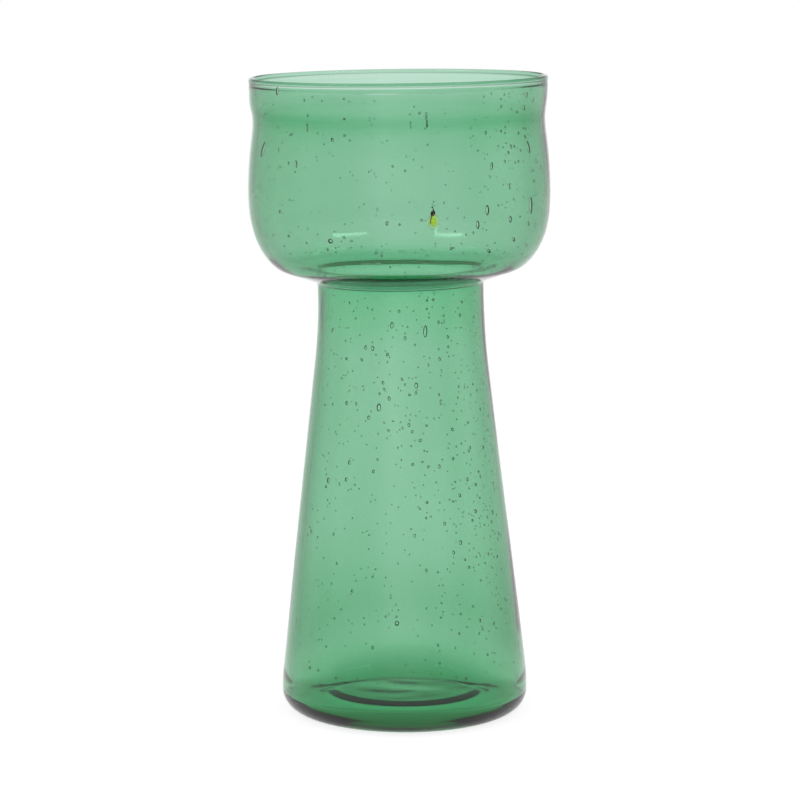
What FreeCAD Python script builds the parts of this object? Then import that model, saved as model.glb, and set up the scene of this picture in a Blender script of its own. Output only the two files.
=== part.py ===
import FreeCAD, Part
import math
import os
from FreeCAD import Matrix, Vector

# Hyacinth forcing vase of mouth-blown green glass, in millimetres.
# The vase stands on Z = 0 and +Z is up. The origin is the middle of the ring that it stands on.
# Azimuth 0 is the front, which looks towards -Y, and azimuth 90 is the right side, towards +X.

# Overall
TOTAL_HEIGHT = 200.0
LEAN = 0.65                     # degrees that the blown glass leans to the left above its level heel

# Foot
FOOT_RADIUS = 38.9
HEEL_RADIUS = 6.4               # rounding outside, between the foot and the wall
INNER_HEEL_RADIUS = 9.0         # rounding inside, between the floor and the wall
FLOOR_EDGE_THICKNESS = 3.0      # the floor's lowest place, a shallow moat round its edge
FLOOR_RISE = 2.6                # from there up to the floor's middle
BROW_RISE_SHARE = 0.9           # of that rise, at the brow where the floor flattens
BROW_INSET = 7.0                # how far inwards of the moat the brow lies
RESTING_RING_WIDTH = 4.1
PUNT_STEP = 1.5                 # rise from the resting ring to the flat middle of the foot
PUNT_SLOPE_WIDTH = 5.9          # how far inwards that rise takes

# Water chamber and neck
BODY_WALL = 1.9                 # wall of the chamber, the neck and the cup's underside
CHAMBER_EASING_RADIUS = 70.0    # arc of the outline that turns the foot's side into the cone
NECK_SWEEP_RADIUS = 232.0       # arc of the outline that turns the cone into the neck
NECK_RADIUS = 26.0
CREASE_HEIGHT_SHARE = 0.6755    # of the total height, where the neck turns outwards into the cup
CREASE_RADIUS = 2.0
NECK_RING_HEIGHT_SHARE = 0.067  # of the crease's height

# Cup: its widest outside radius, how far inside it the other places lie, and the share of the cup's
# height at which each is above the crease
CUP_WALL = 1.7
BELLY_RADIUS = 47.05
BELLY_RISE_SHARE = 0.453
UNDERSIDE_SLOPE = 18.5          # degrees
UNDERSIDE_INSET = 10.55         # where the straight underside ends
CORNER_INSET = 6.45
CORNER_RISE_SHARE = 0.1217
SHOULDER_INSET = 2.15
SHOULDER_RISE_SHARE = 0.2327
FLANK_INSET = 1.05
FLANK_RISE_SHARE = 0.6918
PINCH_INSET = 1.6
PINCH_RISE_SHARE = 0.8105

# Rim
RIM_INSET = 0.65                # from the belly in to the greatest radius of the rounded bead
RIM_BEAD_THICKNESS = 1.7
RIM_WALL = 1.25                 # wall just below the bead
COLLAR_HEIGHT_SHARE = 0.285     # of the cup's height, for the drawn-in band at the top with its bead

# Stone trapped in the cup's front wall, and the stained glass round it
STONE_AZIMUTH = 12.6
STONE_RISE_SHARE = 0.4145
STONE_WIDTH = 1.3
STONE_LENGTH = 2.4
STONE_TAIL_LENGTH = 3.8
STONE_TAIL_WIDTH = 0.6
STAIN_WIDTH = 2.8
STAIN_LENGTH = 4.4
STAIN_DROP = 2.0                # how far the stain's middle is below the stone's

# Large air seeds, as hollows inside the wall. Each row has its azimuth in degrees, then its height,
# length and width as shares of the cup's or chamber's height, of SEED_LENGTH and of SEED_WIDTH
SEED_LENGTH = 5.0
SEED_WIDTH = 1.1
CUP_SEED_SHARES = [
    (-64.7, 0.685, 0.95, 0.80), (59.3, 0.690, 0.76, 0.90), (37.0, 0.617, 0.52, 0.75),
    (40.2, 0.622, 0.58, 0.75), (34.5, 0.416, 0.60, 0.90), (30.5, 0.349, 0.50, 0.80),
    (46.3, 0.350, 0.45, 0.80), (59.3, 0.403, 1.00, 1.00), (58.1, 0.320, 0.42, 0.70),
    (49.7, 0.257, 0.42, 0.80), (53.1, 0.758, 0.35, 0.65), (47.8, 0.702, 0.38, 0.65),
]
CHAMBER_SEED_SHARES = [
    (-5.9, 0.930, 0.42, 0.75), (3.0, 0.901, 0.34, 0.65), (17.1, 0.915, 0.76, 0.90),
    (-24.4, 0.879, 0.36, 0.65), (26.7, 0.849, 0.34, 0.60), (9.8, 0.794, 0.38, 0.75),
    (-14.5, 0.745, 0.50, 0.90), (-21.0, 0.722, 0.34, 0.70), (-32.8, 0.617, 0.36, 0.65),
    (-48.0, 0.569, 0.42, 0.75), (41.0, 0.572, 0.34, 0.70), (60.7, 0.484, 0.36, 0.70),
    (23.7, 0.480, 0.34, 0.70), (33.0, 0.433, 0.36, 0.75), (-3.4, 0.260, 0.32, 1.00),
    (41.4, 0.249, 0.34, 0.70),
]

# Worked out from the sizes above
CREASE_HEIGHT = TOTAL_HEIGHT * CREASE_HEIGHT_SHARE
CUP_HEIGHT = TOTAL_HEIGHT - CREASE_HEIGHT
RIM_RADIUS = BELLY_RADIUS - RIM_INSET
BEAD_RADIUS = RIM_BEAD_THICKNESS / 2
BEAD_MIDDLE_RADIUS = RIM_RADIUS - BEAD_RADIUS
BEAD_OPENING = math.degrees(math.acos(RIM_WALL / RIM_BEAD_THICKNESS))
BEAD_FOOT_HEIGHT = TOTAL_HEIGHT - BEAD_RADIUS * (1 + math.sin(math.radians(BEAD_OPENING)))
RING_OUTER_RADIUS = FOOT_RADIUS - HEEL_RADIUS
RING_INNER_RADIUS = RING_OUTER_RADIUS - RESTING_RING_WIDTH
PUNT_RADIUS = RING_INNER_RADIUS - PUNT_SLOPE_WIDTH
HEEL_HEIGHT = FLOOR_EDGE_THICKNESS + INNER_HEEL_RADIUS + BODY_WALL
NECK_RING_RADIUS = NECK_RADIUS + CREASE_RADIUS + BODY_WALL
SLOPE = math.radians(UNDERSIDE_SLOPE)
SLOPE_DIRECTION = Vector(math.cos(SLOPE), 0.0, math.sin(SLOPE))
UPWARDS = Vector(0.0, 0.0, 1.0)
OUTWARDS = Vector(1.0, 0.0, 0.0)
REACH = BELLY_RADIUS + FOOT_RADIUS


def point(radius, height):
    """A point of the outline, which lies in the XZ plane."""
    return Vector(radius, 0.0, height)


def line(start, end):
    """A straight edge of the outline."""
    return Part.LineSegment(start, end).toShape()


def arc(centre, radius, start, end):
    """An arc about a centre between two angles in degrees, with 0 along +X and 90 along +Z."""
    def at(degrees):
        turn = math.radians(degrees)
        return centre + Vector(radius * math.cos(turn), 0.0, radius * math.sin(turn))
    return Part.Arc(at(start), at((start + end) / 2), at(end)).toShape()


def smooth(points, first_direction, last_direction):
    """A smooth curve through points, with its directions at both ends."""
    curve = Part.BSplineCurve()
    curve.interpolate(
        Points=points, InitialTangent=first_direction, FinalTangent=last_direction, Scale=False
    )
    return curve.toShape()


def first(edge):
    """The point where an edge starts."""
    return edge.valueAt(edge.FirstParameter)


def last(edge):
    """The point where an edge ends."""
    return edge.valueAt(edge.LastParameter)


def cone_angle():
    """Angle between the chamber's straight cone and the vertical.

    The cone is the common tangent of the easing arc below it and the sweep arc above it."""
    arcs = CHAMBER_EASING_RADIUS + NECK_SWEEP_RADIUS
    drop = FOOT_RADIUS - NECK_RADIUS
    height = CREASE_HEIGHT - HEEL_RADIUS
    return math.atan2(height, arcs - drop) - math.acos(arcs / math.hypot(arcs - drop, height))


def chamber_side(inset, start):
    """The chamber's side from the heel up to the crease: easing arc, straight cone and sweep arc.

    The inner side has the same centres as the outer one, and start is where its easing arc begins."""
    cone = math.degrees(cone_angle())
    low_centre = point(FOOT_RADIUS - CHAMBER_EASING_RADIUS, HEEL_RADIUS)
    high_centre = point(NECK_RADIUS + NECK_SWEEP_RADIUS, CREASE_HEIGHT)
    low = arc(low_centre, CHAMBER_EASING_RADIUS - inset, start, cone)
    high = arc(high_centre, NECK_SWEEP_RADIUS + inset, 180 + cone, 180)
    return [low, line(last(low), first(high)), high]


def inner_heel():
    """Centre of the rounding inside the heel and the angle where it runs into the easing arc.

    It is tangent to the floor and, from within, to the chamber's inner easing arc."""
    height = FLOOR_EDGE_THICKNESS + INNER_HEEL_RADIUS
    distance = CHAMBER_EASING_RADIUS - BODY_WALL - INNER_HEEL_RADIUS
    meeting = math.asin((height - HEEL_RADIUS) / distance)
    radius = FOOT_RADIUS - CHAMBER_EASING_RADIUS + distance * math.cos(meeting)
    return point(radius, height), math.degrees(meeting)


def crease_and_underside(inset):
    """The bend at the crease and the straight underside of the cup, outside or inside."""
    centre = point(NECK_RADIUS + CREASE_RADIUS, CREASE_HEIGHT)
    bend = arc(centre, CREASE_RADIUS + inset, 180, 90 + UNDERSIDE_SLOPE)
    across = BELLY_RADIUS - UNDERSIDE_INSET - NECK_RADIUS - CREASE_RADIUS * (1 - math.sin(SLOPE))
    reach = across / math.cos(SLOPE)
    return [bend, line(last(bend), last(bend) + SLOPE_DIRECTION * reach)]


def cup_side(underside_end, inside):
    """The cup's side from its underside to the foot of the bead, as one smooth curve.

    Inside, each point is moved in by the wall there, square to the line between its neighbours."""
    rows = [
        (CORNER_INSET, CORNER_RISE_SHARE, (BODY_WALL + CUP_WALL) / 2),
        (SHOULDER_INSET, SHOULDER_RISE_SHARE, CUP_WALL),
        (0.0, BELLY_RISE_SHARE, CUP_WALL),
        (FLANK_INSET, FLANK_RISE_SHARE, CUP_WALL),
        (PINCH_INSET, PINCH_RISE_SHARE, CUP_WALL),
    ]
    half_wall = -RIM_WALL / 2 if inside else RIM_WALL / 2
    rim_end = point(BEAD_MIDDLE_RADIUS + half_wall, BEAD_FOOT_HEIGHT)
    outside = [
        point(BELLY_RADIUS - inset, CREASE_HEIGHT + CUP_HEIGHT * share) for inset, share, wall in rows
    ]
    if not inside:
        return smooth([underside_end] + outside + [rim_end], SLOPE_DIRECTION, UPWARDS)
    neighbours = [underside_end] + outside + [rim_end]
    moved = []
    for index, (inset, share, wall) in enumerate(rows):
        along = (neighbours[index + 2] - neighbours[index]).normalize()
        moved.append(outside[index] + Vector(-along.z, 0.0, along.x) * wall)
    return smooth([underside_end] + moved + [rim_end], SLOPE_DIRECTION, UPWARDS)


def outer_edges():
    """The outside of the glass, from the resting ring up to the foot of the bead."""
    heel = arc(point(RING_OUTER_RADIUS, HEEL_RADIUS), HEEL_RADIUS, -90, 0)
    edges = [heel] + chamber_side(0.0, 0.0) + crease_and_underside(0.0)
    return edges + [cup_side(last(edges[-1]), False)]


def inner_edges():
    """The inside of the glass, from the floor up to the foot of the bead."""
    centre, meeting = inner_heel()
    heel = arc(centre, INNER_HEEL_RADIUS, -90, meeting)
    edges = [heel] + chamber_side(BODY_WALL, meeting) + crease_and_underside(BODY_WALL)
    return edges + [cup_side(last(edges[-1]), True)]


def foot_edges(outer_start, inner_start):
    """The resting ring, the punt, the vase's axis and the floor, which close the outline below."""
    ring_inner = point(RING_INNER_RADIUS, 0.0)
    punt_edge = point(PUNT_RADIUS, PUNT_STEP)
    punt_middle = point(0.0, PUNT_STEP)
    brow = point(inner_start.x - BROW_INSET, FLOOR_EDGE_THICKNESS + FLOOR_RISE * BROW_RISE_SHARE)
    floor_middle = point(0.0, FLOOR_EDGE_THICKNESS + FLOOR_RISE)
    inwards = OUTWARDS.negative()
    return [
        line(outer_start, ring_inner),
        smooth([ring_inner, punt_edge], inwards, inwards),
        line(punt_edge, punt_middle),
        line(punt_middle, floor_middle),
        smooth([floor_middle, brow], OUTWARDS, OUTWARDS),
        smooth([brow, inner_start], OUTWARDS, OUTWARDS),
    ]


def glass_section():
    """The whole glass cut through its axis, as one flat face in the XZ plane."""
    outer = outer_edges()
    inner = inner_edges()
    bead_middle = point(BEAD_MIDDLE_RADIUS, TOTAL_HEIGHT - BEAD_RADIUS)
    bead = arc(bead_middle, BEAD_RADIUS, -BEAD_OPENING, 180 + BEAD_OPENING)
    foot = foot_edges(first(outer[0]), first(inner[0]))
    edges = outer + [bead] + inner + foot
    return Part.Face(Part.Wire(Part.__sortEdges__(edges)))


def zone(section, low_radius, high_radius, low_height, high_height):
    """The ring of glass between two radii and two heights, turned about the vase's axis."""
    corners = [
        point(low_radius, low_height),
        point(high_radius, low_height),
        point(high_radius, high_height),
        point(low_radius, high_height),
    ]
    window = Part.Face(Part.makePolygon(corners + corners[:1]))
    piece = max(section.common(window).Faces, key=lambda face: face.Area)
    return piece.revolve(Vector(0.0, 0.0, 0.0), UPWARDS, 360)


def glass_zones():
    """The zones of the glass, in the order in which they stand above each other."""
    section = glass_section()
    neck_low = CREASE_HEIGHT * (1 - NECK_RING_HEIGHT_SHARE)
    chamber_low = HEEL_HEIGHT - BODY_WALL
    shoulder = CREASE_HEIGHT + CUP_HEIGHT * SHOULDER_RISE_SHARE
    collar_low = TOTAL_HEIGHT - CUP_HEIGHT * COLLAR_HEIGHT_SHARE
    top = TOTAL_HEIGHT + BEAD_RADIUS
    return {
        "base_disc": zone(section, 0.0, RING_INNER_RADIUS, -HEEL_RADIUS, HEEL_HEIGHT),
        "heel": zone(section, RING_INNER_RADIUS, REACH, -HEEL_RADIUS, HEEL_HEIGHT),
        "water_chamber": zone(section, 0.0, REACH, chamber_low, neck_low),
        "neck_ring": zone(section, 0.0, NECK_RING_RADIUS, neck_low, shoulder),
        "cup_floor": zone(section, NECK_RING_RADIUS, REACH, neck_low, shoulder),
        "bulb_cup": zone(section, 0.0, REACH, shoulder, collar_low),
        "collar": zone(section, 0.0, REACH, collar_low, BEAD_FOOT_HEIGHT),
        "lip": zone(section, 0.0, REACH, BEAD_FOOT_HEIGHT, top),
    }


def ellipsoid(width, length):
    """An egg-like solid round the origin, with its length along Z."""
    scale = Matrix()
    scale.scale(width / 2, width / 2, length / 2)
    return Part.makeSphere(1.0).transformGeometry(scale)


def place_in_wall(shape, azimuth, height, depth):
    """Lays a shape along the outer wall at an azimuth and height, its middle at a depth in the glass."""
    for edge in outer_edges():
        low, high = first(edge).z, last(edge).z
        if low <= height <= high:
            break
    share = (height - low) / (high - low)
    parameter = edge.FirstParameter + share * (edge.LastParameter - edge.FirstParameter)
    for step in range(20):
        parameter += (height - edge.valueAt(parameter).z) / edge.derivative1At(parameter).z
    along = edge.derivative1At(parameter).normalize()
    middle = edge.valueAt(parameter) + Vector(-along.z, 0.0, along.x) * depth
    laid = shape.copy()
    laid.rotate(Vector(0.0, 0.0, 0.0), Vector(0.0, 1.0, 0.0), math.degrees(math.atan2(along.x, along.z)))
    laid.translate(middle)
    laid.rotate(Vector(0.0, 0.0, 0.0), UPWARDS, azimuth - 90)
    return laid


def hollow_seeds(zones, names, shares, low_height, height, wall):
    """Hollows the large air seeds out of the named zones, each seed in the middle of the wall."""
    seeds = []
    for azimuth, height_share, length_share, width_share in shares:
        seed = ellipsoid(SEED_WIDTH * width_share, SEED_LENGTH * length_share)
        seeds.append(place_in_wall(seed, azimuth, low_height + height * height_share, wall / 2))
    for name in names:
        zones[name] = zones[name].cut(seeds)


def stone_shape():
    """The stone as a drop: a rounded body with a thin tail above it, its middle at the origin."""
    tail = Part.makeCone(STONE_TAIL_WIDTH / 2, STONE_TAIL_WIDTH / 4, STONE_TAIL_LENGTH)
    return ellipsoid(STONE_WIDTH, STONE_LENGTH).fuse(tail)


def add_stone(zones):
    """Seats the stone and its stained glass in pockets of the cup's wall, flush with the outside."""
    height = CREASE_HEIGHT + CUP_HEIGHT * STONE_RISE_SHARE
    stone = place_in_wall(stone_shape(), STONE_AZIMUTH, height, 0.0)
    stain = place_in_wall(ellipsoid(STAIN_WIDTH, STAIN_LENGTH), STONE_AZIMUTH, height - STAIN_DROP, 0.0)
    cup = zones["bulb_cup"]
    zones["stone_inclusion"] = cup.common(stone)
    zones["amber_stain"] = cup.common(stain).cut(stone)
    zones["bulb_cup"] = cup.cut(stain).cut(stone)


def lean_above_heel(zones):
    """Leans all the glass above the heel, and trims the chamber level where it meets the heel's top."""
    pivot = Vector(0.0, 0.0, HEEL_HEIGHT)
    for name, solid in zones.items():
        if name not in ("base_disc", "heel"):
            solid.rotate(pivot, Vector(0.0, 1.0, 0.0), -LEAN)
    below = Part.makeBox(2 * REACH, 2 * REACH, HEEL_HEIGHT, Vector(-REACH, -REACH, 0.0))
    zones["water_chamber"] = zones["water_chamber"].cut(below)


def main():
    """Builds the zones, the seeds and the stone, and writes one file for each."""
    zones = glass_zones()
    add_stone(zones)
    hollow_seeds(zones, ("bulb_cup", "collar"), CUP_SEED_SHARES, CREASE_HEIGHT, CUP_HEIGHT, CUP_WALL)
    hollow_seeds(zones, ("water_chamber", "neck_ring"), CHAMBER_SEED_SHARES, 0.0, CREASE_HEIGHT, BODY_WALL)
    lean_above_heel(zones)
    os.makedirs("parts", exist_ok=True)
    for name, solid in zones.items():
        solid.exportStep("parts/" + name + ".step")
        print(name, len(solid.Solids), solid.isValid(), round(solid.Volume, 2), solid.BoundBox)


main()
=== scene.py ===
import logging
import math
from dataclasses import dataclass
from enum import Enum
from functools import partial
from typing import Sequence

import bpy
import numpy as np
from mathutils import Matrix


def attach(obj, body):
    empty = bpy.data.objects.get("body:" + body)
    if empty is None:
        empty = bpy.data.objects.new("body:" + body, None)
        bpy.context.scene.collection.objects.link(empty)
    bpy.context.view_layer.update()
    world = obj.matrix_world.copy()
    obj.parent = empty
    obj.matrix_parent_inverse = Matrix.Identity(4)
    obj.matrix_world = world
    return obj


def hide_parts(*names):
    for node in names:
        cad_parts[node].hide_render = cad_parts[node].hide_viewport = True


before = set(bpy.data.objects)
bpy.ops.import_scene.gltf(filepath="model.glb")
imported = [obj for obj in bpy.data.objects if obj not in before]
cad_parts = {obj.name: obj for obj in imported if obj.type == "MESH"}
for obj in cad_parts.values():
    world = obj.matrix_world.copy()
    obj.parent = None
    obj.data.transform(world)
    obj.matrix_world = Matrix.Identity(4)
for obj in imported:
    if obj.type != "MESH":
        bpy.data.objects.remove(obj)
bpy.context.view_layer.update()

# Dresses the hyacinth forcing vase: one blown vessel of green seeded glass, the stone trapped in its
# wall and the stained glass round the stone. Sizes are in millimetres until a mesh is made. Azimuth 0
# is the front, towards -Y, and azimuth 90 is the right side, towards +X.

MM = 0.001
FINE_STEPS = 4000       # steps on which a changing spacing is added up
WHITE = (1.0, 1.0, 1.0, 1.0)
log = logging.getLogger("hyacinth_vase")


def spline_slopes(steps: np.ndarray, values: np.ndarray, first: np.ndarray, last: np.ndarray) -> np.ndarray:
    """Slopes of the smooth cubic curve through values, with a given slope at both ends.

    In each row, the curvature on both sides of an inner station is made equal, which gives one
    linear equation for its slope and those of its neighbours.

    Args:
        steps: parameter of each station, rising.
        values: one row for each station.
        first: slope at the first station.
        last: slope at the last station.

    Returns:
        One slope for each station, in the shape of values.
    """
    count = len(steps)
    gaps = np.diff(steps)
    rises = np.diff(values, axis=0) / gaps[:, None]
    matrix = np.eye(count)
    right = np.zeros_like(values)
    right[0], right[-1] = first, last
    inner = np.arange(1, count - 1)
    matrix[inner, inner - 1] = gaps[1:]
    matrix[inner, inner] = 2 * (gaps[:-1] + gaps[1:])
    matrix[inner, inner + 1] = gaps[:-1]
    right[1:-1] = 3 * (gaps[1:, None] * rises[:-1] + gaps[:-1, None] * rises[1:])
    return np.linalg.solve(matrix, right)


def spline_at(steps: np.ndarray, values: np.ndarray, slopes: np.ndarray, at: np.ndarray) -> np.ndarray:
    """Points of a cubic curve that is given by its stations and slopes.

    Between two stations it is the cubic with their values and slopes, in Hermite's form.

    Args:
        steps: parameter of each station.
        values: one row for each station.
        slopes: one row for each station.
        at: parameters where points are wanted, in any shape.

    Returns:
        The points, with one more axis than at.
    """
    low = np.clip(np.searchsorted(steps, at, side="right") - 1, 0, len(steps) - 2)
    gap = steps[low + 1] - steps[low]
    share = np.clip((at - steps[low]) / gap, 0.0, 1.0)[..., None]
    gap = gap[..., None]
    ease = share * share * (3 - 2 * share)
    leave = share * (1 - share) ** 2 * gap
    arrive = share * share * (share - 1) * gap
    return (
        values[low] * (1 - ease) + values[low + 1] * ease + slopes[low] * leave + slopes[low + 1] * arrive
    )


def stations_at(table: np.ndarray, at: np.ndarray) -> np.ndarray:
    """Reads a table of stations, its first column the place, by a smooth curve that is flat at both ends.

    Args:
        table: rows of place and one or more values.
        at: places where values are wanted.

    Returns:
        The values, with one more axis than at.
    """
    flat = np.zeros(table.shape[1] - 1)
    slopes = spline_slopes(table[:, 0], table[:, 1:], flat, flat)
    return spline_at(table[:, 0], table[:, 1:], slopes, at)


def crowded_steps(length: float, count: int, crowds: Sequence[tuple[float, float, float]]) -> np.ndarray:
    """Steps from 0 to a length that lie closer round some places.

    The steps are equal shares of the running total of 1 plus a bell curve for each crowd.

    Args:
        length: where the steps end.
        count: how many steps.
        crowds: place, half-width and extra density of each crowd.

    Returns:
        count + 1 rising places.
    """
    fine = np.linspace(0.0, length, FINE_STEPS + 1)
    density = np.ones_like(fine)
    for place, width, extra in crowds:
        density += extra * bell(fine, place, width)
    total = np.concatenate([[0.0], np.cumsum((density[1:] + density[:-1]) / 2)])
    return np.interp(np.linspace(0.0, total[-1], count + 1), total, fine)


def ramp(value: np.ndarray, start: float, width: float) -> np.ndarray:
    """Rises in a straight line from 0 at the start to 1 at start plus width, and is level outside."""
    return np.clip((value - start) / width, 0.0, 1.0)


def bell(value: np.ndarray, middle: float, width: float) -> np.ndarray:
    """A bell curve: e to the power of minus the square of the distance from the middle over the width."""
    return np.exp(-(((value - middle) / width) ** 2))


def unit_rows(directions: np.ndarray) -> np.ndarray:
    """Each row divided by its length."""
    return directions / np.linalg.norm(directions, axis=1)[:, None]


def arc_points(
    centre: tuple[float, float], radius: float, start: float, end: float, count: int
) -> np.ndarray:
    """Points of an arc in the outline's plane: centre plus radius times cosine and sine of the angle."""
    turn = np.radians(np.linspace(start, end, count + 1))
    return np.stack([centre[0] + radius * np.cos(turn), centre[1] + radius * np.sin(turn)], axis=1)


def line_points(start: Sequence[float], end: Sequence[float], count: int) -> np.ndarray:
    """Points evenly spaced on a straight line."""
    share = np.linspace(0.0, 1.0, count + 1)[:, None]
    return (1 - share) * np.asarray(start) + share * np.asarray(end)


def chained(parts: Sequence[np.ndarray]) -> np.ndarray:
    """Joins runs of points that meet end to end, with each meeting point kept once."""
    return np.concatenate([parts[0]] + [part[1:] for part in parts[1:]])


def round_the_axis(radius: np.ndarray, azimuth: np.ndarray, height: np.ndarray) -> np.ndarray:
    """Points at a radius, azimuth and height: x is radius times sine, y is minus radius times cosine."""
    radius, azimuth, height = np.broadcast_arrays(radius, azimuth, height)
    return np.stack([radius * np.sin(azimuth), -radius * np.cos(azimuth), height], axis=-1)


def tilted(up: np.ndarray, side: np.ndarray, degrees: np.ndarray) -> tuple[np.ndarray, np.ndarray]:
    """Turns the directions up and side within the wall, by the cosine and sine of each row's angle."""
    tilt = np.radians(degrees)[:, None]
    return up * np.cos(tilt) + side * np.sin(tilt), side * np.cos(tilt) - up * np.sin(tilt)


def ball_angles(rings: int, columns: int) -> tuple[np.ndarray, np.ndarray]:
    """Angles of a ball's rings, and of the places round a ring, on axes of their own.

    Args:
        rings: rings between the poles.
        columns: places round a ring.

    Returns:
        The rings' angles above the middle, and the places' angles.
    """
    fall = np.pi * (np.arange(rings) + 1) / (rings + 1) - np.pi / 2
    turn = 2 * np.pi * np.arange(columns) / columns
    return fall[None, :, None], turn[None, None, :]


@dataclass
class Shell:
    """One or more closed surfaces, with points in millimetres and faces that look outwards."""

    points: np.ndarray
    quads: np.ndarray
    triangles: np.ndarray

    @staticmethod
    def from_rings(rings: np.ndarray, first: np.ndarray, last: np.ndarray) -> "Shell":
        """Closes a stack of rings, or many such stacks at once, with a pole at each end.

        A face joins each point to the next one round the ring and to both points of the next ring.

        Args:
            rings: points as stack, ring, place round the ring, and coordinate.
            first: the pole before the first ring of each stack.
            last: the pole after the last ring of each stack.

        Returns:
            The closed shells.
        """
        stacks, rows, columns = rings.shape[:3]
        size = rows * columns + 2
        points = np.concatenate([first[:, None], rings.reshape(stacks, -1, 3), last[:, None]], axis=1)
        ring, place = np.meshgrid(np.arange(rows), np.arange(columns), indexing="ij")
        here = 1 + ring * columns + place
        beside = 1 + ring * columns + (place + 1) % columns
        quads = np.stack([here[:-1], beside[:-1], beside[1:], here[1:]], axis=-1).reshape(-1, 4)
        low = np.stack([np.zeros(columns, int), beside[0], here[0]], axis=-1)
        high = np.stack([here[-1], beside[-1], np.full(columns, size - 1)], axis=-1)
        shift = (np.arange(stacks) * size)[:, None, None]
        return Shell(
            points.reshape(-1, 3),
            (quads[None] + shift).reshape(-1, 4),
            (np.concatenate([low, high])[None] + shift).reshape(-1, 3),
        )

    @staticmethod
    def eggs(
        middle: np.ndarray, halves: tuple, fall: np.ndarray, turn: np.ndarray,
        rough: np.ndarray | float = 1.0,
    ) -> "Shell":
        """Egg-shaped shells: the unit ball's rings scaled along three directions.

        Args:
            middle: the middle of each egg.
            halves: half the egg along its length, its width and its thickness, as directions.
            fall: the rings' angles above the middle.
            turn: the places' angles round a ring.
            rough: radius of each point of a ring, as a share of the even one.

        Returns:
            The shells, with faces that look out of the eggs.
        """
        long, wide, thick = halves
        spread = (slice(None), None, None)
        girth = (np.cos(fall) * rough)[..., None]
        rings = (
            middle[spread]
            + long[spread] * np.sin(fall)[..., None]
            + wide[spread] * girth * np.sin(turn)[..., None]
            + thick[spread] * girth * np.cos(turn)[..., None]
        )
        return Shell.from_rings(rings, middle - long, middle + long)

    def inside_out(self) -> "Shell":
        """The same shells as hollows, with their faces looking inwards."""
        return Shell(self.points, self.quads[:, ::-1], self.triangles[:, ::-1])

    def with_more(self, other: "Shell") -> "Shell":
        """These shells and others together.

        Args:
            other: the others.

        Returns:
            All of them.
        """
        shift = len(self.points)
        return Shell(
            np.concatenate([self.points, other.points]),
            np.concatenate([self.quads, other.quads + shift]),
            np.concatenate([self.triangles, other.triangles + shift]),
        )

    def as_object(self, name: str, material: bpy.types.Material) -> bpy.types.Object:
        """Puts the shells into one smooth-shaded object at the origin, in metres.

        Args:
            name: the object's and its mesh's name.
            material: the finish of all its faces.

        Returns:
            The object, linked to the scene.
        """
        mesh = bpy.data.meshes.new(name)
        faces = self.quads.tolist() + self.triangles.tolist()
        mesh.from_pydata((self.points * MM).tolist(), [], faces)
        mesh.polygons.foreach_set("use_smooth", np.ones(len(faces), bool))
        mesh.materials.append(material)
        mesh.update()
        piece = bpy.data.objects.new(name, mesh)
        bpy.context.scene.collection.objects.link(piece)
        log.info("%s: %d points, %d faces", name, len(self.points), len(faces))
        return piece


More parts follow.
